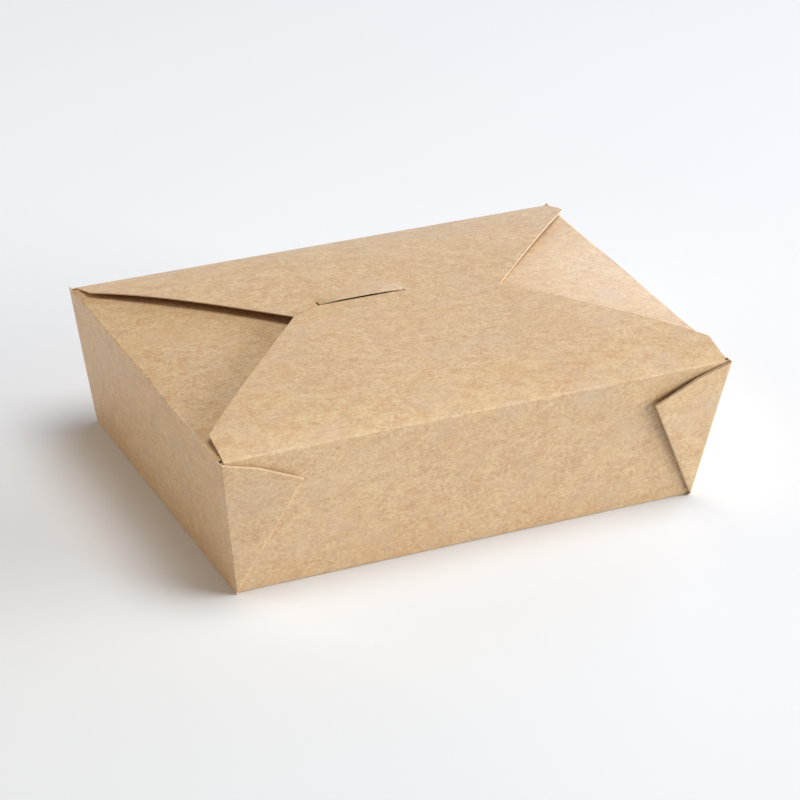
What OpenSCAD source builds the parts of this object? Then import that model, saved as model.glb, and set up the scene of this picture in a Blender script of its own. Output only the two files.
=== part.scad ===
// Takeaway box folded from one sheet of kraft board.
// The base, the four walls, the corner webs, the two side flaps and the back flap are one
// folded piece. The front flap closes over the others and locks in the back flap's slit.
// X runs along the box, Y from front to back, Z up. The origin is the middle of the underside.

/* [Tray] */
// Length of the base
base_length = 197; // [180:1:205]
// Width of the base
base_width = 140; // [128:1:147]
// Length of the rim, from crease to crease
rim_length = 217; // [210:1:235]
// Width of the rim, from crease to crease
rim_width = 150; // [142:1:165]
// Height of the rim creases above the table
rim_height = 61; // [54:1:80]
// Thickness of the board
board = 0.45; // [0.35:0.05:0.6]

/* [Corner webs] */
// Length of the fold that runs from a base corner to the tip of its web
web_length = 54; // [44:0.5:57]
// Distance from the base corner to the bend in a web's top edge
web_bend_length = 57; // [52:0.5:59]
// Angle from the corner crease to that bend
web_bend_angle = 14.5; // [10:0.5:20]
// Angle by which a web's fold falls short of halving the web
web_ease = 2.4; // [0:0.2:5]
// Play between a long wall and the web that lies on it
web_play = 0.1; // [0.05:0.05:0.3]
// Room between the two layers of a web
web_layer_gap = 0.2; // [0.1:0.05:0.4]
// Height at which a web starts above the table
web_foot = 0.8; // [0.6:0.1:2]
// Angle at which the front left web springs off the wall
front_left_lift = 1.6; // [0.5:0.1:5]
// Angle at which the front right web springs off the wall
front_right_lift = 3.6; // [0.5:0.1:6]
// Angle at which the two back webs spring off the wall
back_lift = 1.6; // [0.5:0.1:5]

/* [Side flaps] */
// Gap between the free edges of the two side flaps
side_flap_gap = 49; // [46:1:80]
// Distance from a rim corner to the edge of a side flap
side_flap_inset = 5; // [4:0.2:8]
// Straight part of a side flap's edge, next to its crease
side_flap_edge = 9; // [4:1:20]
// Width of a side flap at its free edge
side_flap_tip = 92; // [60:1:120]
// Corner cut of the free edge
side_flap_corner = 8; // [2:1:15]
// Angle at which the side flaps dip into the box
side_flap_dip = 1.5; // [1:0.5:9]

/* [Long flaps] */
// Distance from a rim corner to the end of a flap's crease
crease_inset = 2; // [1:0.5:4]
// Height of the closed lid's arch over the rim
arch_rise = 5.2; // [3:0.2:8]
// Fullness of the arch, from pointed to flat topped
arch_fullness = 4; // [2.5:0.1:5]
// Room between the front flap and the back flap under it
lap_gap = 0.15; // [0.1:0.05:0.3]

/* [Front flap] */
// Straight side edge of the front flap, next to its crease
front_edge = 15.3; // [10:0.1:22]
// Sideways set of the front flap's outer corners, to the right
front_slew = 0.8; // [0:0.1:1.2]
// Reach of the front flap at the left end of its closing edge
front_left_reach = 85; // [80:0.5:90]
// Reach of the front flap at the right end of its closing edge
front_right_reach = 81.8; // [78:0.2:90]
// Left end of the closing edge, from the middle of the box
front_left_end = 40; // [34:0.5:50]
// Right end of the closing edge, from the middle of the box
front_right_end = 49; // [40:0.5:60]
// Swelling of the front flap's crease, past each face of the board
crease_swell = 0.04; // [0.02:0.01:0.08]
// Room between the crease of the front flap and the top of the front wall
crease_gap = 0.1; // [0.05:0.05:0.2]

/* [Lock] */
// Reach of the front flap at the slit
lock_reach = 90; // [86:0.5:93]
// Middle of the slit, to the left of the middle of the box
lock_shift = 8.2; // [0:0.2:9]
// Length of the slit in the back flap
slit_length = 37; // [30:1:42]
// Width to which the slit is spread by the tongue
slit_width = 2.3; // [2:0.1:3]
// Length of the relief cut at the left end of the slit
left_relief = 2.6; // [2:0.2:5]
// Length of the relief cut at the right end of the slit
right_relief = 0.8; // [0.6:0.2:4]
// Width of the relief cuts
relief_width = 0.7; // [0.5:0.1:1.2]
// Open part of the slit to the left of the tongue
tongue_left_room = 4.8; // [2:0.2:7]
// Open part of the slit to the right of the tongue
tongue_right_room = 3.7; // [2:0.2:7]
// Depth of the tongue below the bend
tongue_length = 10; // [6:0.5:12]
// Corner cut of the tongue
tongue_corner = 3; // [1:0.5:5]
// Inner radius of the tongue's bend
tongue_bend = 0.35; // [0.3:0.05:0.5]

/* [Back flap] */
// Straight side edge of the back flap, next to its crease
back_edge = 11.3; // [8:0.1:18]
// Sideways set of the back flap's outer corners, to the right
back_slew = 1.2; // [0:0.1:1.4]
// Board left between the slit and the free edge of the back flap
slit_margin = 12; // [8:0.5:20]
// Left end of the back flap's free edge, from the middle of the box
back_left_end = 29; // [28:0.5:34]
// Right end of the back flap's free edge, from the middle of the box
back_right_end = 44; // [38:0.5:50]
// Bow of the back flap's left edge
back_left_bow = 1.2; // [0:0.2:4]

/* [Hidden] */

board_colour = "#d3ad82";
// Steps along the arch of a flap, along a bowed edge and round a bend
arch_steps = 20;
bow_steps = 6;
bend_steps = 6;
// Distance by which cutting shapes run past what they cut
over = 1;

// Lean of the walls, from the upright
side_lean = atan((rim_length - base_length) / 2 / rim_height);
front_lean = atan((rim_width - base_width) / 2 / rim_height);
// Level thickness of the leaning walls
side_wall = board / cos(side_lean);
front_wall = board / cos(front_lean);

// Crease lines, in the middle of the walls
crease_x = (rim_length - side_wall) / 2;
crease_y = (rim_width - front_wall) / 2;
crease_end = rim_length / 2 - crease_inset;
// Rounded crease of the front flap, on the hinge axis
crease_round = board + 2 * crease_swell;
hinge_z = rim_height - board / 2;

// One corner crease, from the base to the rim
corner_run = [(rim_length - base_length) / 2, (rim_width - base_width) / 2, rim_height];
corner_length = norm(corner_run);
// Angles between the base's edges and the corner crease, on the long and on the short wall
long_corner = 90 + asin(corner_run[0] / corner_length);
short_corner = 90 + asin(corner_run[1] / corner_length);
// A web fills what is left round the base corner of the flat sheet, and folds in half
web_angle = (360 - 90 - long_corner - short_corner) / 2 - web_ease;
// Two layers of web, over the long wall
web_stack = web_play + 2 * board + web_layer_gap;

// Front flap lies over the back flap at the lock
front_rise = arch_rise + board + lap_gap;
lock_y = lock_reach - crease_y;
tongue_x0 = -lock_shift - slit_length / 2 + tongue_left_room;
tongue_x1 = -lock_shift + slit_length / 2 - tongue_right_room;
tongue_width = tongue_x1 - tongue_x0;
// Near lip of the slit lies just under the closing edge
slit_y0 = lock_y - board / 4;
slit_y1 = slit_y0 + slit_width;
back_free_y = slit_y0 - slit_margin;

// Half length and half width of the tray at a height
function half_length(z) = (base_length + (rim_length - base_length) * z / rim_height) / 2;
function half_width(z) = (base_width + (rim_width - base_width) * z / rim_height) / 2;

// Corners of a level rectangle
function rectangle(x0, x1, y0, y1, z) = [[x0, y0, z], [x1, y0, z], [x1, y1, z], [x0, y1, z]];

// Outline of the tray at a height, grown by a length in each direction
function tray_outline(z, grow_x, grow_y) =
    rectangle(
        -half_length(z) - grow_x, half_length(z) + grow_x,
        -half_width(z) - grow_y, half_width(z) + grow_y, z);

// Strip beyond the back wall at a height, between the side walls
function back_strip(z) =
    rectangle(
        -half_length(z) + side_wall, half_length(z) - side_wall,
        half_width(z), half_width(z) + web_stack + over, z);

// Height of the arch over the rim at a distance from the middle
function arch(y, rise) = rise * (1 - pow(abs(y) / crease_y, arch_fullness));

// Points along the arch between two places
function arch_line(y0, y1, rise, drop) =
    [for (i = [0 : arch_steps])
        let (y = y0 + (y1 - y0) * i / arch_steps)
        [y, rim_height + arch(y, rise) - drop]];

// Points along a round bend
function bend(x, y, radius, from, to) =
    [for (i = [0 : bend_steps])
        let (angle = from + (to - from) * i / bend_steps)
        [x + radius * cos(angle), y + radius * sin(angle)]];

// Points along an edge that bows to the left of its run
function bowed_edge(from, to, bow) =
    let (run = to - from, side = [-run[1], run[0]] / norm(run))
    [for (i = [0 : bow_steps])
        let (t = i / bow_steps)
        from + run * t + side * bow * 4 * t * (1 - t)];

// Solid between two level rectangles
module loft(lower, upper) {
    polyhedron(
        points = concat(lower, upper),
        faces = [[0, 1, 2, 3], [7, 6, 5, 4], [4, 5, 1, 0], [5, 6, 2, 1], [6, 7, 3, 2], [7, 4, 0, 3]],
        convexity = 2);
}

// Sheet that follows the lid's arch between two places across the box
module arched_sheet(y0, y1, rise) {
    line = concat(arch_line(y0, y1, rise, 0), arch_line(y1, y0, rise, board));
    rotate([90, 0, 90])
        linear_extrude(rim_length, center = true)
            polygon(line);
}

// Upright prism over an outline, as tall as the lid needs
module outline_prism(points) {
    translate([0, 0, rim_height / 2])
        linear_extrude(rim_height)
            polygon(points);
}

// Base and four walls, open at the top, with the side walls reaching past the long walls
module tray() {
    difference() {
        loft(tray_outline(0, 0, web_stack), tray_outline(rim_height, 0, web_stack));
        loft(
            tray_outline(board, -side_wall, -front_wall),
            tray_outline(rim_height + over, -side_wall, -front_wall));
        for (turn = [0, 180])
            rotate([0, 0, turn])
                loft(back_strip(-over), back_strip(rim_height + over));
        front_crease_room();
    }
}

// Room for the front flap's crease above the front wall
module front_crease_room() {
    room = crease_round / 2 + crease_gap;
    translate([-crease_end - crease_gap, -rim_width / 2 - over, hinge_z - room])
        cube([2 * (crease_end + crease_gap), front_wall + over + board, room + over]);
}

// Section across a web: two layers joined by a round fold at the origin
module web_section() {
    fold_radius = board + web_layer_gap / 2;
    middle = web_play + fold_radius;
    far = -corner_length;
    polygon(concat(
        [[far, web_play]],
        bend(-fold_radius, middle, fold_radius, -90, 90),
        [[far, middle + fold_radius], [far, middle + web_layer_gap / 2]],
        bend(-fold_radius, middle, web_layer_gap / 2, 90, -90),
        [[far, middle - web_layer_gap / 2]]));
}

// Web over the left end of the front wall, in the plane of that wall:
// the base corner is the origin and the corner crease runs along Y
module flat_web() {
    at_bend = web_bend_length * [sin(web_bend_angle), cos(web_bend_angle)];
    at_tip = web_length * [sin(web_angle), cos(web_angle)];
    past_tip = at_tip + (at_tip - at_bend) / norm(at_tip - at_bend) * over;
    intersection() {
        rotate([0, 0, -web_angle])
            translate([0, web_length + over, 0])
                rotate([90, 0, 0])
                    linear_extrude(web_length + 2 * over)
                        web_section();
        translate([0, 0, -over])
            linear_extrude(web_stack + 2 * over)
                polygon([
                    [board / 2, web_foot],
                    [web_foot * tan(web_angle) + over, web_foot],
                    past_tip,
                    at_bend,
                    [board / 2, corner_length - board]]);
    }
}

// Web in its place over the left end of the front wall, sprung off it by an angle
module front_left_web(lift) {
    up = [-corner_run[0], -corner_run[1], corner_run[2]] / corner_length;
    out = [0, -cos(front_lean), -sin(front_lean)];
    inward = cross(up, out);
    multmatrix([
        [inward[0], up[0], out[0], -base_length / 2],
        [inward[1], up[1], out[1], -base_width / 2],
        [inward[2], up[2], out[2], 0]])
        rotate([0, -lift, 0])
            flat_web();
}

// Four corner webs, two on each long wall
module corner_webs() {
    front_left_web(front_left_lift);
    mirror([1, 0, 0])
        front_left_web(front_right_lift);
    for (turn = [0, 1])
        mirror([turn, 0, 0])
            mirror([0, 1, 0])
                front_left_web(back_lift);
}

// Side flap on the right, folded in first and dipping under the long flaps
module right_side_flap() {
    reach = crease_x - side_flap_gap / 2;
    drop = reach * tan(side_flap_dip);
    half_root = rim_width / 2 - side_flap_inset;
    half_tip = side_flap_tip / 2;
    free_x = side_flap_gap / 2;
    intersection() {
        rotate([90, 0, 0])
            linear_extrude(rim_width, center = true)
                polygon([
                    [crease_x, rim_height],
                    [free_x, rim_height - drop],
                    [free_x, rim_height - drop - board],
                    [crease_x, rim_height - board]]);
        linear_extrude(rim_height + over)
            polygon([
                [crease_x + over, -half_root],
                [crease_x + over, half_root],
                [crease_x - side_flap_edge, half_root],
                [free_x + side_flap_corner, half_tip],
                [free_x, half_tip - side_flap_corner],
                [free_x, side_flap_corner - half_tip],
                [free_x + side_flap_corner, -half_tip],
                [crease_x - side_flap_edge, -half_root]]);
    }
}

// Back flap with the slit that takes the tongue
module back_flap() {
    left_foot = [back_slew - crease_end, crease_y - back_edge];
    right_foot = [back_slew + crease_end, crease_y - back_edge];
    difference() {
        intersection() {
            arched_sheet(crease_y, back_free_y, arch_rise);
            outline_prism(concat(
                [[crease_end, crease_y + over], [-crease_end, crease_y + over]],
                bowed_edge(left_foot, [-back_left_end, back_free_y - over], back_left_bow),
                [[back_right_end, back_free_y - over], right_foot]));
        }
        slit();
    }
}

// Slit with its two relief cuts
module slit() {
    slit_x0 = -lock_shift - slit_length / 2;
    slit_x1 = slit_x0 + slit_length;
    outline_prism([
        [slit_x0, slit_y0],
        [slit_x1, slit_y0],
        [slit_x1, slit_y1 + right_relief],
        [slit_x1 - relief_width, slit_y1 + right_relief],
        [slit_x1 - relief_width, slit_y1],
        [slit_x0 + relief_width, slit_y1],
        [slit_x0 + relief_width, slit_y1 + left_relief],
        [slit_x0, slit_y1 + left_relief]]);
}

// Tongue that bends down from the closing edge through the slit
module tongue() {
    top = rim_height + arch(lock_y, front_rise);
    centre = top - board - tongue_bend;
    low = centre - tongue_length;
    outer = tongue_bend + board;
    intersection() {
        rotate([90, 0, 90])
            translate([0, 0, tongue_x0])
                linear_extrude(tongue_width)
                    polygon(concat(
                        [[lock_y - over, top - board], [lock_y - over, top]],
                        bend(lock_y, centre, outer, 90, 0),
                        [[lock_y + outer, low], [lock_y + tongue_bend, low]],
                        bend(lock_y, centre, tongue_bend, 0, 90)));
        translate([0, lock_y + 2 * outer, 0])
            rotate([90, 0, 0])
                linear_extrude(4 * outer + over)
                    polygon([
                        [tongue_x0, top + over],
                        [tongue_x0, low + tongue_corner],
                        [tongue_x0 + tongue_corner, low],
                        [tongue_x1 - tongue_corner, low],
                        [tongue_x1, low + tongue_corner],
                        [tongue_x1, top + over]]);
    }
}

// Folded tray with its webs, side flaps and back flap
module carton() {
    color(board_colour) {
        tray();
        corner_webs();
        right_side_flap();
        mirror([1, 0, 0])
            right_side_flap();
        back_flap();
    }
}

// Closing flap, hinged at the front crease
module front_flap() {
    foot_y = front_edge - crease_y;
    color(board_colour) {
        intersection() {
            arched_sheet(-crease_y, lock_y, front_rise);
            outline_prism([
                [-crease_end, -crease_y - over],
                [crease_end, -crease_y - over],
                [crease_end + front_slew, foot_y],
                [front_right_end, front_right_reach - crease_y],
                [slit_length / 2 - lock_shift, lock_y],
                [-slit_length / 2 - lock_shift, lock_y],
                [-front_left_end, front_left_reach - crease_y],
                [front_slew - crease_end, foot_y]]);
        }
        tongue();
        front_crease();
    }
}

// Rounded crease of the front flap, on the hinge axis
module front_crease() {
    translate([0, -crease_y, hinge_z])
        rotate([0, 90, 0])
            cylinder(d = crease_round, h = 2 * crease_end, center = true, $fn = 32);
}

carton();
front_flap();
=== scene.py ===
import math
import bmesh
import bpy
from mathutils import Matrix, Vector, noise


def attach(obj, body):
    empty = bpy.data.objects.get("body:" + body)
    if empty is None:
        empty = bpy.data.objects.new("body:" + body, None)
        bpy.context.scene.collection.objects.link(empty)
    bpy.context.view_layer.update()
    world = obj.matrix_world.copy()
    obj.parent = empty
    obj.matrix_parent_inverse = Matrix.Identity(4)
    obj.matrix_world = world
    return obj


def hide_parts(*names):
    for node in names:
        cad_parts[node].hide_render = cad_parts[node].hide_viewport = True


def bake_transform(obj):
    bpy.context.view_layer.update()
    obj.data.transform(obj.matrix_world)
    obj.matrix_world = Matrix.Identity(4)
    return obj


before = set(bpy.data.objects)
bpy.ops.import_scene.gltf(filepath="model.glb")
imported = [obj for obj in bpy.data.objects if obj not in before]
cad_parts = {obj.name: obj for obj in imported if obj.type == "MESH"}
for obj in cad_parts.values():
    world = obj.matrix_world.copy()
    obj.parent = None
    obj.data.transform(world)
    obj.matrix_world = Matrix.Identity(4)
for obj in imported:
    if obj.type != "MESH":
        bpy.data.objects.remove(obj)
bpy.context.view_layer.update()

mm = 0.001
close = 0.01    # points nearer than this, in millimetres, count as one

# The box's sizes, in millimetres, as the solids have them
box = {
    "baseLength": 197,
    "baseWidth": 140,
    "rimLength": 217,
    "rimWidth": 150,
    "rimHeight": 61,
    "board": 0.45,
    "creaseInset": 2,      # from a rim corner to the end of a long flap's crease
    "archFullness": 4,
    "rimRound": 0.7,       # outer radius of the rim creases
    "footRound": 0.8,      # outer radius of the base creases
    "cornerRound": 0.6,    # outer radius of the corner creases
    "arcSteps": 5,
    "support": 0.6,        # row of points this far past a round crease
    "margin": 1,           # cuts and first rows run this far past an edge
    "spare": 0.5,          # a sheet starts this much too wide, and is cut to size
    "smoothAngle": 32,
}

halfBase = Vector((box["baseLength"] / 2, box["baseWidth"] / 2))
halfRim = Vector((box["rimLength"] / 2, box["rimWidth"] / 2))
rimHeight = box["rimHeight"]
creaseY = halfRim.y - box["board"] / 2
creaseEnd = halfRim.x - box["creaseInset"]


def activate(piece):
    bpy.ops.object.select_all(action="DESELECT")
    piece.select_set(True)
    bpy.context.view_layer.objects.active = piece


# Selecting by place: the test gets a point in millimetres. Of the edges only open ones count,
# and both ends have to pass
def pick(piece, kind, test):
    bpy.ops.mesh.select_mode(type=kind)
    bpy.ops.mesh.select_all(action="DESELECT")
    sheet = bmesh.from_edit_mesh(piece.data)
    if kind == "FACE":
        found = [f for f in sheet.faces if test(f.calc_center_median())]
    else:
        edges = [e for e in sheet.edges if len(e.link_faces) == 1]
        found = [e for e in edges if all(test(v.co) for v in e.verts)]
    for item in found:
        item.select_set(True)
    bmesh.update_edit_mesh(piece.data)


# A flat grid at its place, which stays in edit mode
def startGrid(name, x0, x1, y0, y1, columns, rows, height=0):
    bpy.ops.object.select_all(action="DESELECT")
    middle = Vector(((x0 + x1) / 2, (y0 + y1) / 2, height))
    bpy.ops.mesh.primitive_grid_add(x_subdivisions=columns, y_subdivisions=rows, size=1)
    piece = bpy.context.object
    piece.name = piece.data.name = name
    bpy.ops.object.mode_set(mode="EDIT")
    bpy.ops.transform.resize(value=(abs(x1 - x0), abs(y1 - y0), 1))
    bpy.ops.transform.translate(value=middle)
    return piece


# The open edge that the test picks is drawn out along a path of points
def drawOut(piece, test, path):
    pick(piece, "EDGE", test)
    for before, after in zip(path, path[1:]):
        bpy.ops.mesh.extrude_region_move(TRANSFORM_OT_translate={"value": after - before})


# Faces that the test picks are cut by a plane. What lies on the side of its normal goes, unless
# clear is off
def trim(piece, test, point, normal, clear=True):
    point, normal = Vector(point), Vector(normal)
    pick(piece, "FACE", test)
    bpy.ops.mesh.bisect(plane_co=point, plane_no=normal, threshold=1e-4)
    if clear:
        pick(piece, "FACE", lambda p: test(p) and (p - point).dot(normal) > 0)
        bpy.ops.mesh.delete(type="FACE")


# Upright cuts along the sides of an outline that runs anticlockwise
def trimToOutline(piece, test, outline):
    for (ax, ay), (bx, by) in zip(outline, outline[1:]):
        trim(piece, test, (ax, ay, 0), Vector((by - ay, ax - bx, 0)).normalized())


# Points from a to b, at most a step apart, without a itself
def straight(a, b, longest):
    count = max(1, math.ceil((b - a).length / longest - 1e-6))
    return [a.lerp(b, (i + 1) / count) for i in range(count)]


# Path through corners that are rounded to their radius; long runs are divided
def roundedPath(corners, longest):
    path = [corners[0][0]]
    for (before, _), (corner, radius), (after, _) in zip(corners, corners[1:], corners[2:]):
        arriving, leaving = (corner - before).normalized(), (after - corner).normalized()
        across = arriving.x * leaving.y - arriving.y * leaving.x
        turn = arriving.angle(leaving)
        way = math.copysign(1, across)
        reach = radius * math.tan(turn / 2)
        arcStart = corner - arriving * reach
        spoke = Vector((arriving.y, -arriving.x)) * way * radius
        centre = arcStart - spoke
        path += straight(path[-1], arcStart - arriving * box["support"], longest)
        for i in range(box["arcSteps"] + 1):
            angle = way * turn * i / box["arcSteps"]
            turned = Vector((
                spoke.x * math.cos(angle) - spoke.y * math.sin(angle),
                spoke.x * math.sin(angle) + spoke.y * math.cos(angle),
            ))
            path.append(centre + turned)
        path.append(corner + leaving * (reach + box["support"]))
    path += straight(path[-1], corners[-1][0], longest)
    return path


def inDepth(path):   # a path across the box, in y and z
    return [Vector((0, p.x, p.y)) for p in path]


def inLength(path):  # a path along the box, in x and z
    return [Vector((p.x, 0, p.y)) for p in path]


def archHeight(y, rise):
    return rimHeight + rise * (1 - (abs(y) / creaseY) ** box["archFullness"])


def archPath(y0, y1, rise, count):
    ys = [y0 + (y1 - y0) * i / count for i in range(count + 1)]
    return [Vector((y, archHeight(y, rise))) for y in ys]


# Where the arch's first slope meets the outer face of a long wall
def rimCorner(rise, end):
    slope = box["archFullness"] * rise / creaseY
    return Vector((end * halfRim.y, rimHeight - slope * (halfRim.y - creaseY)))


# Tray with its long walls, and the back flap with the slit
tray = {
    "columns": 62,
    "rows": 20,
    "longestStep": 7,
    "archSteps": 22,
    "backRise": 5.2,
    "backEdge": 10.5,      # straight side edge of the back flap
    "leftSlew": 2.4,       # its outer corners are set to the right by these
    "rightSlew": 3.3,
    "freeEdge": 3.1,       # y of its free edge, under the closing flap
    "freeLeft": -29,
    "freeRight": 44,
    "bow": 1.2,            # of its left edge
    "bowDepth": 30,        # over which the bow dies out
    "slitLeft": -26.7,
    "slitRight": 11.5,
    "slitNear": 15.11,
    "slitFar": 16.45,
    "lipRise": 1.2,        # the tongue pushes the slit's far side up by this
    "lipRun": 14,
    "hookLeft": 2.6,       # relief cuts at the ends of the slit
    "hookRight": 0.8,
    "hookWidth": 0.7,
    "patchPast": 5,        # the flap is scored in a patch this much longer than the slit
    "patchNear": 8,
    "patchFar": 26,
    "frontSeam": 59.8,     # height at which the front crease's own strip starts
    "wallJoin": 0.3,       # a long wall ends this far inside a side wall's outer face
    "wallsBelow": 0.3,     # walls and base lie further under the rim than this
    "flapBelow": 0.2,      # and the flap nearer to it than this
}


def buildTray():
    s = tray
    inset = box["footRound"] + 2 * box["support"]
    wide = halfRim.x + box["spare"]
    nearY = halfBase.y - inset
    piece = startGrid("trayAndBackFlap", -wide, wide, -nearY, nearY, s["columns"], s["rows"])
    margin = box["margin"]
    arch = archPath(creaseY - margin, s["freeEdge"], s["backRise"], s["archSteps"])
    back = roundedPath(
        [
            (Vector((nearY, 0)), 0),
            (Vector((halfBase.y, 0)), box["footRound"]),
            (rimCorner(s["backRise"], 1), box["rimRound"]),
            (arch[0], 0),
        ],
        s["longestStep"],
    )[:-1] + arch
    drawOut(piece, lambda p: p.y > nearY - close, inDepth(back))
    lean = (halfRim.y - halfBase.y) / rimHeight
    seam = Vector((-halfBase.y - lean * s["frontSeam"], s["frontSeam"]))
    front = roundedPath(
        [
            (Vector((-nearY, 0)), 0),
            (Vector((-halfBase.y, 0)), box["footRound"]),
            (seam, 0),
        ],
        s["longestStep"],
    )
    drawOut(piece, lambda p: p.y < close - nearY, inDepth(front))
    # the leaning side planes cut base and walls
    sideLean = (halfRim.x - halfBase.x) / rimHeight
    for end in (-1, 1):
        normal = Vector((end, 0, -sideLean)).normalized()
        trim(
            piece,
            lambda p: p.z < rimHeight - s["wallsBelow"],
            (end * (halfBase.x - s["wallJoin"]), 0, 0),
            normal,
        )
    # the back flap's outline
    onFlap = lambda p: p.z > rimHeight - s["flapBelow"]
    left = Vector((s["leftSlew"] - creaseEnd, creaseY - s["backEdge"]))
    right = Vector((s["rightSlew"] + creaseEnd, creaseY - s["backEdge"]))
    leftEnd = Vector((s["freeLeft"], s["freeEdge"] - margin))
    rightEnd = Vector((s["freeRight"], s["freeEdge"] - margin))
    trimToOutline(piece, onFlap, [(-creaseEnd, creaseY + margin), left, leftEnd])
    trimToOutline(piece, onFlap, [rightEnd, right, (creaseEnd, creaseY + margin)])
    cutSlit(piece, s)
    # corners of the front wall's top edge, beside the front crease
    onWall = lambda p: p.y < -halfBase.y
    nub = [seam, Vector((-halfRim.y, rimHeight))]
    for end in (-1, 1):
        trim(piece, onWall, (end * creaseEnd, 0, 0), (end, 0, 0), clear=False)
        beside = lambda p: p.z > s["frontSeam"] - close and end * p.x > creaseEnd - close
        drawOut(piece, lambda p: beside(p) and onWall(p), inDepth(nub))
    finishEdit(piece, lambda c: c.z < close, Vector((0, 0, -1)))
    bowLeftEdge(piece, left, leftEnd, s)
    raiseLip(piece, s)
    return piece


# The slit and its two hooks: the flap is scored along their sides, and what lies inside goes
def cutSlit(piece, s):
    near = lambda p: (
        p.z > rimHeight
        and s["slitLeft"] - s["patchPast"] < p.x < s["slitRight"] + s["patchPast"]
        and s["patchNear"] < p.y < s["patchFar"]
    )
    ends = [s["slitLeft"], s["slitLeft"] + s["hookWidth"]]
    ends += [s["slitRight"] - s["hookWidth"], s["slitRight"]]
    for x in ends:
        trim(piece, near, (x, 0, 0), (1, 0, 0), clear=False)
    hooks = [s["slitFar"] + s["hookLeft"], s["slitFar"] + s["hookRight"]]
    for y in [s["slitNear"], s["slitFar"], *hooks]:
        trim(piece, near, (0, y, 0), (0, 1, 0), clear=False)

    def inside(p):
        if p.z < rimHeight or not s["slitLeft"] < p.x < s["slitRight"]:
            return False
        far = s["slitFar"]
        if p.x < ends[1]:
            far = hooks[0]
        elif p.x > ends[2]:
            far = hooks[1]
        return s["slitNear"] < p.y < far

    pick(piece, "FACE", inside)
    bpy.ops.mesh.delete(type="FACE")


# Leaves edit mode, with the faces turned so that the picked ones look the given way
def finishEdit(piece, test, outward):
    bpy.ops.mesh.select_all(action="SELECT")
    bpy.ops.mesh.remove_doubles(threshold=close)
    sheet = bmesh.from_edit_mesh(piece.data)
    found = [f for f in sheet.faces if test(f.calc_center_median())]
    if found[0].normal.dot(outward) < 0:
        bpy.ops.mesh.flip_normals()
    bpy.ops.object.mode_set(mode="OBJECT")


# The back flap's left edge bows in a little between its ends
def bowLeftEdge(piece, start, end, s):
    run = end - start
    inward = Vector((-run.y, run.x)).normalized()
    for vert in piece.data.vertices:
        p = vert.co
        if p.z < rimHeight:
            continue
        fromStart = Vector((p.x, p.y)) - start
        share = fromStart.dot(run) / run.length_squared
        depth = max(0, 1 - fromStart.dot(inward) / s["bowDepth"])
        if 0 < share < 1:
            shift = inward * s["bow"] * 4 * share * (1 - share) * depth * depth
            y = p.y + shift.y
            dz = archHeight(y, s["backRise"]) - archHeight(p.y, s["backRise"])
            vert.co += Vector((shift.x, shift.y, dz))


# The slit's far side, pushed up by the tongue
def raiseLip(piece, s):
    middle, half = (s["slitLeft"] + s["slitRight"]) / 2, (s["slitRight"] - s["slitLeft"]) / 2
    for vert in piece.data.vertices:
        p = vert.co
        along, past = abs(p.x - middle) / half, (p.y - s["slitFar"] + close) / s["lipRun"]
        if p.z > rimHeight and along < 1 and 0 < past < 1:
            p.z += s["lipRise"] * (1 - along**4) * (1 - past) ** 2


# Side wall with its two corner webs and its side flap
side = {
    "columns": 34,
    "longestStep": 7,
    "webStep": 3,
    "freeX": 24.5,         # free edge of the flap, from the middle of the box
    "flapStep": 4,
    "flapInset": 2.2,      # its edges, from the ends of the rim
    "straightEdge": 9,
    "tipWidth": 92,
    "cornerCut": 8,
    "overhang": 3,         # the sheet starts this much wider than the rim
    "rimStrip": 2,         # finer row past the rim crease
    "underRound": 0.35,    # the wall ends this far under the rim's round crease
    "stripJoin": 0.3,      # the base's strip ends this far inside the long walls
    "flapBelow": 0.05,
    "rimRound": 0.55,
    "leftArch": 1.6,       # the left flap arches by this between its crease and its free edge
    "rightSpring": 4.4,    # and the right one springs up to the back flap over this run
    "springRun": 56,
    "webLength": 54,       # fold, from the base corner to the tip
    "webBendLength": 57,
    "webBendAngle": 14.5,
    "webAngle": 35.65,
    "play": 0.1,
    "layerGap": 0.35,
    "foldSteps": 8,
    "layerSteps": (1, 6, 6, 6, 6, 6, 6),
    "webRun": 50,          # its sheet starts this long, and is cut to shape
    "cornerStart": 0.2,    # share of the corner's length at which the web's section starts
    "pastCorner": 0.35,    # the fold's cut spares what lies nearer to the corner
    "innerStart": 0.3,     # the inner layer ends this far from the corner
    "lift": {(-1, -1): 2.2, (1, -1): 3.6, (-1, 1): 1.6, (1, 1): 1.6},
    "topDrop": 0.45,       # a web's top edge starts this far under the rim's corner
    "foot": 1.7,           # and its foot this far above the base
}


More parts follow.
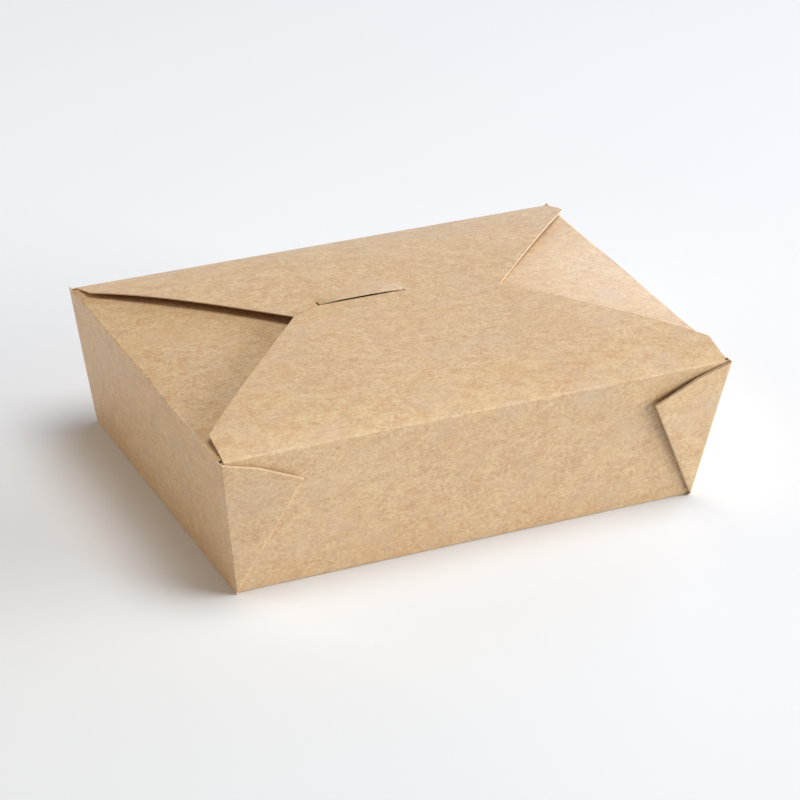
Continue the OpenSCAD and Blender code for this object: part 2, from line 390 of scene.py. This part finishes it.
def buildSide(name, sx):
    s = side
    inset = box["footRound"] + 2 * box["support"]
    halfStack = halfRim.y + s["overhang"]
    x0, x1 = sx * (halfBase.x - inset - box["margin"]), sx * (halfBase.x - inset)
    piece = startGrid(
        name, min(x0, x1), max(x0, x1), -halfStack, halfStack, 1, s["columns"]
    )
    crease = halfRim.x - box["board"] / 2
    pastRim = Vector((sx * (halfRim.x - s["rimStrip"]), rimHeight))
    path = roundedPath(
        [
            (Vector((x1, 0)), 0),
            (Vector((sx * halfBase.x, 0)), box["footRound"]),
            (Vector((sx * halfRim.x, rimHeight)), s["rimRound"]),
            (pastRim, 0),
        ],
        s["longestStep"],
    )
    path += straight(pastRim, Vector((sx * s["freeX"], rimHeight)), s["flapStep"])
    drawOut(piece, lambda p: sx * p.x > sx * x1 - close, inLength(path))
    wallTop = max(p.y for p in path if abs(p.x) > halfRim.x - 0.2) - s["underRound"]
    wallEdge = max(p.y for p in path if p.y < wallTop)
    # the base's own strip, then the flap's outline
    for end in (-1, 1):
        trim(piece, lambda p: p.z < close, (0, end * (halfBase.y - s["stripJoin"]), 0), (0, end, 0))
    onFlap = lambda p: p.z > rimHeight - s["flapBelow"]
    onWall = lambda p: 0.02 < p.z < wallTop + close
    halfRoot, halfTip = halfRim.y - s["flapInset"], s["tipWidth"] / 2
    for end in (-1, 1):
        trim(piece, lambda p: p.z > wallTop, (0, end * halfRoot, 0), (0, end, 0))
        corners = [
            Vector((sx * (crease - s["straightEdge"]), end * halfRoot)),
            Vector((sx * (s["freeX"] + s["cornerCut"]), end * halfTip)),
            Vector((sx * s["freeX"], end * (halfTip - s["cornerCut"]))),
        ]
        for a, b in zip(corners, corners[1:]):
            outward = Vector((b.y - a.y, a.x - b.x, 0)).normalized()
            if outward.y * end < 0:
                outward = -outward
            trim(piece, onFlap, (a.x, a.y, 0), outward)
    for end in (-1, 1):
        buildWeb(piece, sx, end, onWall, wallTop, s)
        # the wall's top edge between the flap and the corner
        topEdge = lambda p: end * p.y > halfRoot - close and abs(p.z - wallEdge) < 0.05
        pick(piece, "EDGE", topEdge)
        rise = rimHeight - wallEdge
        lean = (halfRim.x - halfBase.x) / rimHeight
        bpy.ops.mesh.extrude_region_move(
            TRANSFORM_OT_translate={"value": (sx * rise * lean, 0, rise)}
        )
    midWall = lambda c: abs(c.x) > halfBase.x + 2 and 10 < c.z < 50 and abs(c.y) < 40
    finishEdit(piece, midWall, Vector((sx, 0, 0)))
    for vert in piece.data.vertices:
        p = vert.co
        depth = crease - abs(p.x)
        if p.z > rimHeight - s["flapBelow"] and depth > 0:
            pressed = 1 - (p.y / halfRim.y) ** 2
            if sx < 0:
                share = depth / (crease - s["freeX"])
                p.z += 4 * s["leftArch"] * share * (1 - share) * pressed
            else:
                share = min(1, depth / s["springRun"])    # steeper at first
                p.z += s["rightSpring"] * share * (1.35 - 0.35 * share) * pressed
    return piece


# A web is drawn out of the side wall's end, folded back on itself and cut to its top edge
def buildWeb(piece, sx, end, onWall, wallTop, s):
    lift = math.radians(s["lift"][(sx, end)])
    foldAngle = math.radians(s["webAngle"])
    foldRound = box["board"] + s["layerGap"] / 2
    stack = s["play"] + 2 * box["board"] + s["layerGap"]
    origin = Vector((sx * halfBase.x, end * halfBase.y, 0))
    up = Vector((sx * (halfRim.x - halfBase.x), end * (halfRim.y - halfBase.y), rimHeight))
    cornerLength = up.length
    up.normalize()
    frontLean = math.atan((halfRim.y - halfBase.y) / rimHeight)
    sideLean = math.atan((halfRim.x - halfBase.x) / rimHeight)
    out = Vector((0, end * math.cos(frontLean), -math.sin(frontLean)))
    sideOut = Vector((sx * math.cos(sideLean), 0, -math.sin(sideLean)))
    inward = up.cross(out)
    if inward.x * sx > 0:
        inward = -inward
    alongWall = up.cross(sideOut)      # in the side wall, square to the corner crease
    if alongWall.y * end < 0:
        alongWall = -alongWall
    webIn = inward * math.cos(lift) + out * math.sin(lift)
    webOut = out * math.cos(lift) - inward * math.sin(lift)

    def local(p):                      # inward, up and out from the base corner
        q = p - origin
        return Vector((q.dot(inward), q.dot(up), q.dot(out)))

    # the side wall's end, short of the round corner crease
    corner = Vector((alongWall.dot(inward), alongWall.dot(out))) * (stack / alongWall.dot(out))
    far = corner + Vector((math.cos(lift), math.sin(lift))) * s["webRun"]
    start = corner * s["cornerStart"]
    section = roundedPath([(start, 0), (corner, box["cornerRound"]), (far, 0)], s["webStep"])
    first = next(i for i, p in enumerate(section) if p.length > start.length + close)
    section = section[first:]
    nearEnd = lambda p: onWall(p) and end * p.y > 20 and (p - origin).dot(sideOut) > -2
    trim(piece, nearEnd, origin + alongWall * section[0].length, alongWall)
    atEnd = lambda p: (
        abs((p - origin).dot(alongWall) - section[0].length) < 0.02
        and 0.6 < p.z < wallTop + 0.5
        and abs((p - origin).dot(sideOut)) < 0.02
    )
    drawOut(piece, atEnd, [inward * p.x + out * p.y for p in section])
    # the fold
    onWeb = lambda p: local(p).z > 0.02 and local(p).x > s["pastCorner"]
    foldLine = webIn * math.sin(foldAngle) + up * math.cos(foldAngle)
    foldOut = webIn * math.cos(foldAngle) - up * math.sin(foldAngle)
    foldStart = origin - foldOut * foldRound
    trim(piece, onWeb, foldStart, foldOut)
    atFold = lambda p: abs((p - foldStart).dot(foldOut)) < close and local(p).z > 0.5
    pick(piece, "EDGE", atFold)
    axisPoint = foldStart + webOut * (s["play"] + foldRound)
    turn = -math.pi if foldLine.cross(webOut).dot(foldOut) > 0 else math.pi
    bpy.ops.mesh.spin(steps=s["foldSteps"], angle=turn, center=axisPoint, axis=foldLine)
    for back in s["layerSteps"]:
        bpy.ops.mesh.extrude_region_move(TRANSFORM_OT_translate={"value": -foldOut * back})
    # the inner layer stops at the corner, and both are cut along the foot and the top edge
    onInner = lambda p: (
        abs((p - origin).dot(webOut) - s["play"]) < 0.02
        and abs((p - origin).dot(sideOut)) > 0.001    # not the side wall's own faces
    )
    isWeb = lambda p: -0.1 < (p - origin).dot(webOut) < stack + 0.1 and local(p).x > 0.2
    trim(piece, lambda p: isWeb(p) or onInner(p), origin + up * s["foot"], -up)
    trim(piece, onInner, origin + inward * s["innerStart"], -inward)
    bendAngle = math.radians(s["webBendAngle"])
    tip = Vector((math.sin(foldAngle), math.cos(foldAngle))) * s["webLength"]
    bend = Vector((math.sin(bendAngle), math.cos(bendAngle))) * s["webBendLength"]
    top = Vector((box["board"] / 2, cornerLength - s["topDrop"]))
    for a, b in ((tip, bend), (bend, top)):
        run = b - a
        outward = Vector((run.y, -run.x)).normalized()
        trim(
            piece,
            isWeb,
            origin + webIn * a.x + up * a.y,
            webIn * outward.x + up * outward.y,
        )


# Closing flap, from its crease to the tongue
closing = {
    "columns": 62,
    "rise": 5.8,
    "seam": 73.8,          # distance from the middle at which the crease's own strip ends
    "archSteps": 28,
    "closeY": 15.226,
    "edge": 15.3,          # straight side edge
    "slew": 0.8,
    "leftEnd": (-40, 10.23),
    "rightEnd": (49, 7.03),
    "slitLeft": -26.7,
    "slitRight": 11.5,
    "tongueLeft": -21.9,
    "tongueRight": 6.6,
    "tongueBend": 0.8,     # outer radius of the tongue's bend
    "tongueLength": 10.5,
    "tongueCorner": 3,
    "tongueStep": 2.5,
}


def buildClosingFlap():
    s = closing
    wide = halfRim.x + box["spare"]
    rows = archPath(-s["seam"], s["closeY"], s["rise"], s["archSteps"])
    first = rows[0]
    piece = startGrid(
        "closingFlap", -wide, wide, first.x - box["margin"], first.x, s["columns"], 1, first.y
    )
    drawOut(piece, lambda p: p.y > first.x - close, inDepth(rows))
    pick(piece, "FACE", lambda p: p.y < first.x)
    bpy.ops.mesh.delete(type="FACE")
    everywhere = lambda p: True
    footY = s["edge"] - creaseY
    outline = [
        (creaseEnd, -creaseY - box["margin"]),
        (creaseEnd + s["slew"], footY),
        s["rightEnd"],
        (s["slitRight"], s["closeY"]),
        (s["slitLeft"], s["closeY"]),
        s["leftEnd"],
        (s["slew"] - creaseEnd, footY),
        (-creaseEnd, -creaseY - box["margin"]),
    ]
    for i in (0, 1, 2, 4, 5, 6):     # the closing edge itself is the sheet's own
        trimToOutline(piece, everywhere, outline[i:i + 2])
    # the tongue bends down out of the closing edge
    for x in (s["tongueLeft"], s["tongueRight"]):
        trim(piece, lambda p: p.y > 5, (x, 0, 0), (1, 0, 0), clear=False)
    top = rows[-1]
    slope = (rows[-1] - rows[-2]).normalized()
    corner = top + slope * s["tongueBend"]
    path = roundedPath(
        [
            (top - slope * 2, 0),
            (corner, s["tongueBend"]),
            (Vector((corner.x, corner.y - s["tongueLength"])), 0),
        ],
        s["tongueStep"],
    )
    path = [top] + [p for p in path if p.x > top.x + 0.05]
    tongueRoot = lambda p: (
        p.y > s["closeY"] - close
        and s["tongueLeft"] - close < p.x < s["tongueRight"] + close
    )
    drawOut(piece, tongueRoot, inDepth(path))
    low = path[-1].y
    onTongue = lambda p: p.y > s["closeY"] + 0.3
    for x, way in ((s["tongueLeft"], -1), (s["tongueRight"], 1)):
        trim(
            piece,
            onTongue,
            (x, 0, low + s["tongueCorner"]),
            Vector((way, 0, -1)).normalized(),
        )
    finishEdit(piece, lambda c: -40 < c.y < 0, Vector((0, 0, 1)))
    return piece


# Strip of board round the front crease, between the front wall and the closing flap
def buildCreaseStrip():
    lean = (halfRim.y - halfBase.y) / rimHeight
    seamZ = tray["frontSeam"]
    low = Vector((-halfBase.y - lean * seamZ, seamZ))
    high = Vector((-closing["seam"], archHeight(closing["seam"], closing["rise"])))
    path = roundedPath(
        [(low, 0), (rimCorner(closing["rise"], -1), box["rimRound"]), (high, 0)], 1
    )
    first = low.x - box["margin"]
    piece = startGrid(
        "frontCrease", -creaseEnd, creaseEnd, first, low.x, closing["columns"], 1, low.y
    )
    drawOut(piece, lambda p: p.y > low.x - close, inDepth(path))
    pick(piece, "FACE", lambda p: p.z < low.y + close)
    bpy.ops.mesh.delete(type="FACE")
    finishEdit(piece, lambda c: c.z > rimHeight and c.y > -74.2, Vector((0, 0, 1)))
    return piece


# Real board is never quite flat: the panels swell a little between their creases
unevenness = {
    "height": 0.35,
    "size": 70,
    "reach": 18,           # it dies out over this run towards a crease
    "seed": Vector((3.1, 7.7, 1.3)),
    "flapsAbove": 50,      # points over this, and inside the rim by these, lie on a side flap
    "insideSides": 3,
    "insideLong": 1,
}


def loosen(piece):
    s = unevenness
    moves = []
    for vert in piece.data.vertices:
        p = vert.co
        fromRim = abs(rimHeight - p.z) if p.z < rimHeight else halfRim.y - abs(p.y)
        insideRim = (
            abs(p.x) < halfRim.x - s["insideSides"] and abs(p.y) < halfRim.y - s["insideLong"]
        )
        if s["flapsAbove"] < p.z < rimHeight and insideRim:
            fromRim = halfRim.x - abs(p.x)
        share = min(1, max(0, min(fromRim, p.z) / s["reach"]))
        share = share * share * (3 - 2 * share)
        swell = noise.noise(p / s["size"] + s["seed"])
        moves.append(vert.normal * swell * share * s["height"])
    for vert, move in zip(piece.data.vertices, moves):
        vert.co += move


creaseTurns = {"least": 6, "full": 18}    # in degrees, between faces beside an edge


# How sharply the sheet turns at each point, which the material shows as a paler crease: partly wear,
# partly a painted highlight on the rounded fold
def markCreases(piece):
    sheet = bmesh.new()
    sheet.from_mesh(piece.data)
    turns = [0.0] * len(sheet.verts)
    for edge in sheet.edges:
        if len(edge.link_faces) == 2:
            turn = edge.calc_face_angle(0)
            if turn > math.radians(creaseTurns["least"]):
                share = min(1, turn / math.radians(creaseTurns["full"]))
                for vert in edge.verts:
                    turns[vert.index] = max(turns[vert.index], share)
    sheet.free()
    layer = piece.data.attributes.new("crease", "FLOAT", "POINT")
    layer.data.foreach_set("value", turns)


# Gives a folded sheet its thickness, inwards from its outer face, with cut edges of their own
def giveThickness(piece):
    activate(piece)
    thick = piece.modifiers.new("board", "SOLIDIFY")
    thick.thickness = box["board"]
    thick.offset = -1
    thick.use_even_offset = True
    thick.material_offset_rim = 1
    bpy.ops.object.modifier_apply(modifier=thick.name)
    piece.scale = (mm, mm, mm)    # from millimetres, in which it was modelled
    bpy.ops.object.transform_apply(location=False, rotation=False, scale=True)
    bpy.ops.object.shade_smooth_by_angle(angle=math.radians(box["smoothAngle"]))


# ---- materials
class Signal:
    def __init__(self, tree, socket):
        self.tree, self.socket = tree, socket

    def combine(self, operation, first, second=0.0, third=0.0):
        maths = self.tree.nodes.new("ShaderNodeMath")
        maths.operation = operation
        for slot, value in zip(maths.inputs, (first, second, third)):
            if isinstance(value, Signal):
                self.tree.links.new(value.socket, slot)
            else:
                slot.default_value = value
        return Signal(self.tree, maths.outputs[0])

    def __add__(self, other):
        return self.combine("ADD", self, other)

    def __sub__(self, other):
        return self.combine("SUBTRACT", self, other)

    def __rsub__(self, other):
        return self.combine("SUBTRACT", other, self)

    def __mul__(self, other):
        return self.combine("MULTIPLY", self, other)

    def __abs__(self):
        return self.combine("ABSOLUTE", self)

    def atLeast(self, least):
        return self.combine("MAXIMUM", self, least)

    __radd__, __rmul__ = __add__, __mul__


class Shader:
    def __init__(self, name):
        self.material = bpy.data.materials.new(name)
        self.material.use_nodes = True
        self.tree = self.material.node_tree
        self.surface = self.tree.nodes["Principled BSDF"]

    def add(self, kind, settings=None, sockets=None, output=0):
        made = self.tree.nodes.new(kind)
        for key, value in (settings or {}).items():
            setattr(made, key, value)
        self.feed(made, sockets or {})
        return Signal(self.tree, made.outputs[output])

    def feed(self, made, sockets):
        for key, value in sockets.items():
            if isinstance(value, Signal):
                self.tree.links.new(value.socket, made.inputs[key])
            else:
                made.inputs[key].default_value = value

    def place(self, scale, turn=(0, 0, 0)):
        coordinates = self.add("ShaderNodeTexCoord", output=3)
        return self.add(
            "ShaderNodeMapping", sockets={"Vector": coordinates, "Scale": scale, "Rotation": turn}
        )

    def noise(self, at, scale, detail=2.0, roughness=0.5, distortion=0.0):
        return self.add(
            "ShaderNodeTexNoise",
            sockets={
                "Vector": at, "Scale": scale, "Detail": detail,
                "Roughness": roughness, "Distortion": distortion,
            },
        )

    def blend(self, share, first, second):
        return self.add(
            "ShaderNodeMix", {"data_type": "RGBA"}, {0: share, 6: first, 7: second}, output=2
        )


kraft = {
    "dark": (0.560, 0.318, 0.148, 1),
    "pale": (0.748, 0.545, 0.295, 1),
    "chalky": (0.620, 0.458, 0.330, 1),
    "straw": (0.665, 0.410, 0.172, 1),
    # paler colour on creases: partly crease wear, partly a painted highlight
    "wearAndHighlight": (0.820, 0.617, 0.378, 1),
    "fleckSize": 780,      # patches to a metre
    "fibreSize": 560,
    "darkFibreSize": 672,
    "mottleSize": 240,
    "tintSize": 75,
    "cloudSize": 24,
    "fleck": 1.4,
    "fibre": 0.5,
    "mottle": 1.3,
    "cloud": 0.4,
    "tint": 1.7,
    "lineWidth": 6,        # the higher, the thinner the fibres
    "wearAndHighlightShare": 0.1,
    "wearAndHighlightFleck": 0.8,
    "alongBox": (0.65, 1, 1),
    "askew": (1, 0.55, 0.8),
    "askewTurn": (0.4, 0.3, 0.8),
    "tintStretch": (0.7, 1, 1),
    "chalkyTurn": (0.9, 0.4, 0.1),
    "strawTurn": (0.2, 1.1, 0.5),
    "warp": 1.5,           # how far the fibres' noise is warped
    "detail": 3,
    "fleckDetail": 2,
    "grain": 0.6,          # share of each finer layer in flecks, mottling and tints
    "softGrain": 0.55,     # and in fibres and clouds
    "roughness": 0.5,
    "roughMottle": 0.15,
    "specular": 1.0,
    "sheen": 0.15,
    "bump": 0.05,
    "fibreRelief": 0.25,
}


def kraftBoard():
    s = kraft
    look = Shader("kraftBoard")
    lengthways, plain = look.place(s["alongBox"]), look.place((1, 1, 1))
    askew = look.place(s["askew"], s["askewTurn"])
    fleck = look.noise(lengthways, s["fleckSize"], s["fleckDetail"], s["grain"])
    mottle = look.noise(lengthways, s["mottleSize"], s["detail"], s["grain"])
    # fibres: thin lines where a warped noise passes its middle value
    fibreLook = s["detail"], s["softGrain"], s["warp"]
    paleLines = look.noise(lengthways, s["fibreSize"], *fibreLook)
    darkLines = look.noise(askew, s["darkFibreSize"], *fibreLook)
    paleFibre = (1 - abs(paleLines - 0.5) * s["lineWidth"]).atLeast(0)
    darkFibre = (1 - abs(darkLines - 0.5) * s["lineWidth"]).atLeast(0)
    cloud = look.noise(plain, s["cloudSize"], s["detail"], s["softGrain"])
    tone = (fleck - 0.5) * s["fleck"] + (mottle - 0.5) * s["mottle"] + (cloud - 0.5) * s["cloud"]
    tone = tone + (paleFibre - darkFibre) * s["fibre"] + 0.5
    colour = look.blend(tone, s["dark"], s["pale"])
    tintLook = s["tintSize"], s["detail"], s["grain"]
    chalky = look.noise(look.place(s["tintStretch"], s["chalkyTurn"]), *tintLook)
    straw = look.noise(look.place(s["tintStretch"], s["strawTurn"]), *tintLook)
    colour = look.blend(((chalky - 0.5) * s["tint"]).atLeast(0), colour, s["chalky"])
    colour = look.blend(((straw - 0.5) * s["tint"]).atLeast(0), colour, s["straw"])
    # creases get the paler colour by how sharply they turn: partly wear, partly a painted highlight
    crease = look.add("ShaderNodeAttribute", {"attribute_name": "crease"}, output=2)
    wearAndHighlight = crease * ((fleck - 0.5) * s["wearAndHighlightFleck"] + s["wearAndHighlightShare"])
    colour = look.blend(wearAndHighlight, colour, s["wearAndHighlight"])
    height = paleFibre * s["fibreRelief"] - darkFibre * s["fibreRelief"] + fleck
    bump = look.add(
        "ShaderNodeBump", sockets={"Strength": 1.0, "Distance": s["bump"] * mm, "Height": height}
    )
    look.feed(
        look.surface,
        {
            "Base Color": colour,
            "Roughness": s["roughness"] + (mottle - 0.5) * s["roughMottle"],
            "Specular IOR Level": s["specular"],
            "Sheen Weight": s["sheen"],
            "Normal": bump,
        },
    )
    return look.material


rawEdge = {
    "dark": (0.66, 0.46, 0.28, 1),
    "pale": (0.86, 0.68, 0.47, 1),
    "grainSize": 1500,
    "grain": 0.6,
    "roughness": 0.85,
    "specular": 0.2,
}


def cutEdge():
    s = rawEdge
    look = Shader("kraftCutEdge")
    layers = look.noise(look.place((1, 1, 1)), s["grainSize"], 2, s["grain"])
    colour = look.blend(layers, s["dark"], s["pale"])
    look.feed(
        look.surface,
        {"Base Color": colour, "Roughness": s["roughness"], "Specular IOR Level": s["specular"]},
    )
    return look.material


def dress(piece, materials, body, *nodes):
    for material in materials:
        piece.data.materials.append(material)
    markCreases(piece)
    giveThickness(piece)
    if nodes:
        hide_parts(*nodes)
    if body:
        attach(piece, body)


materials = [kraftBoard(), cutEdge()]
carton = buildTray()
left = buildSide("leftSide", -1)
right = buildSide("rightSide", 1)
for piece in (carton, left, right):
    loosen(piece)
print("tray, side walls and webs are folded")
flap = buildClosingFlap()
loosen(flap)
strip = buildCreaseStrip()
print("closing flap is folded")

for extra in (left, right):
    activate(carton)
    extra.select_set(True)
    bpy.ops.object.join()
carton.name = carton.data.name = "foldedCarton"
dress(carton, materials, "box", "carton")
dress(flap, materials, "closing_flap", "front_flap")
dress(strip, materials, None)
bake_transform(strip)
print("board has its thickness and finish")


# ---- studio
studio = {
    "azimuth": -27.48,
    "elevation": 28.94,
    "roll": 2.86,
    "distance": 1.273,
    "target": (-0.0002, -0.0065, 0.030),
    "lens": 144.2,
    "sensor": 36,
    "clip": (0.05, 30),
}


def setCamera():
    s = studio
    a, e, r = (math.radians(s[k]) for k in ("azimuth", "elevation", "roll"))
    back = Vector((math.sin(a) * math.cos(e), -math.cos(a) * math.cos(e), math.sin(e)))
    across = Vector((math.cos(a), math.sin(a), 0))
    up = back.cross(across)
    rightWay = across * math.cos(r) + up * math.sin(r)
    upWay = up * math.cos(r) - across * math.sin(r)
    camera = bpy.data.objects.new("camera", bpy.data.cameras.new("camera"))
    bpy.context.collection.objects.link(camera)
    place = Matrix((rightWay, upWay, back)).transposed().to_4x4()
    place.translation = Vector(s["target"]) + back * s["distance"]
    camera.matrix_world = place
    camera.data.lens = s["lens"]
    camera.data.sensor_width = s["sensor"]
    camera.data.clip_start, camera.data.clip_end = s["clip"]
    bpy.context.scene.camera = camera


lights = {
    "window": {
        "azimuth": 66.5, "elevation": 12, "distance": 4.5, "width": 4.8, "height": 1.8,
        "power": 288, "colour": (0.99, 1, 0.98),
    },
    "windowBeside": {
        "azimuth": 117, "elevation": 8, "distance": 4.5, "width": 4.8, "height": 1.2,
        "power": 165, "colour": (0.88, 1, 1.22),
    },
    "ceiling": {
        "azimuth": 60, "elevation": 78, "distance": 1.8, "width": 1.0, "height": 1.0,
        "power": 20, "colour": (0.99, 1, 1.0),
    },
    "bounce": {
        "azimuth": 250, "elevation": 25, "distance": 1.8, "width": 1.5, "height": 1.2,
        "power": 10, "colour": (1.16, 1, 0.8),
    },
}

sky = {"colour": (0.93, 0.95, 0.97, 1), "strength": 0.06}


def setLights():
    for name, s in lights.items():
        a, e = math.radians(s["azimuth"]), math.radians(s["elevation"])
        towards = Vector((math.sin(a) * math.cos(e), -math.cos(a) * math.cos(e), math.sin(e)))
        lamp = bpy.data.lights.new(name, "AREA")
        lamp.shape, lamp.size, lamp.size_y = "RECTANGLE", s["width"], s["height"]
        lamp.energy, lamp.color = s["power"], s["colour"]
        holder = bpy.data.objects.new(name, lamp)
        bpy.context.collection.objects.link(holder)
        holder.location = towards * s["distance"]
        holder.rotation_euler = towards.to_track_quat("Z", "Y").to_euler()
    world = bpy.data.worlds.new("studio")
    world.use_nodes = True
    background = world.node_tree.nodes["Background"]
    background.inputs["Color"].default_value = sky["colour"]
    background.inputs["Strength"].default_value = sky["strength"]
    bpy.context.scene.world = world
    bpy.context.scene.view_settings.view_transform = "Standard"


ground = {"size": 12, "colour": (0.85, 0.862, 0.89, 1), "roughness": 0.9, "specular": 0.1}


def setFloor():
    s = ground
    bpy.ops.object.select_all(action="DESELECT")
    bpy.ops.mesh.primitive_plane_add(size=s["size"], location=(0, 0, 0))
    floor = bpy.context.object
    floor.name = "floor"
    look = Shader("paleFloor")
    look.feed(
        look.surface,
        {"Base Color": s["colour"], "Roughness": s["roughness"], "Specular IOR Level": s["specular"]},
    )
    floor.data.materials.append(look.material)


setCamera()
setLights()
setFloor()
print("studio is set")
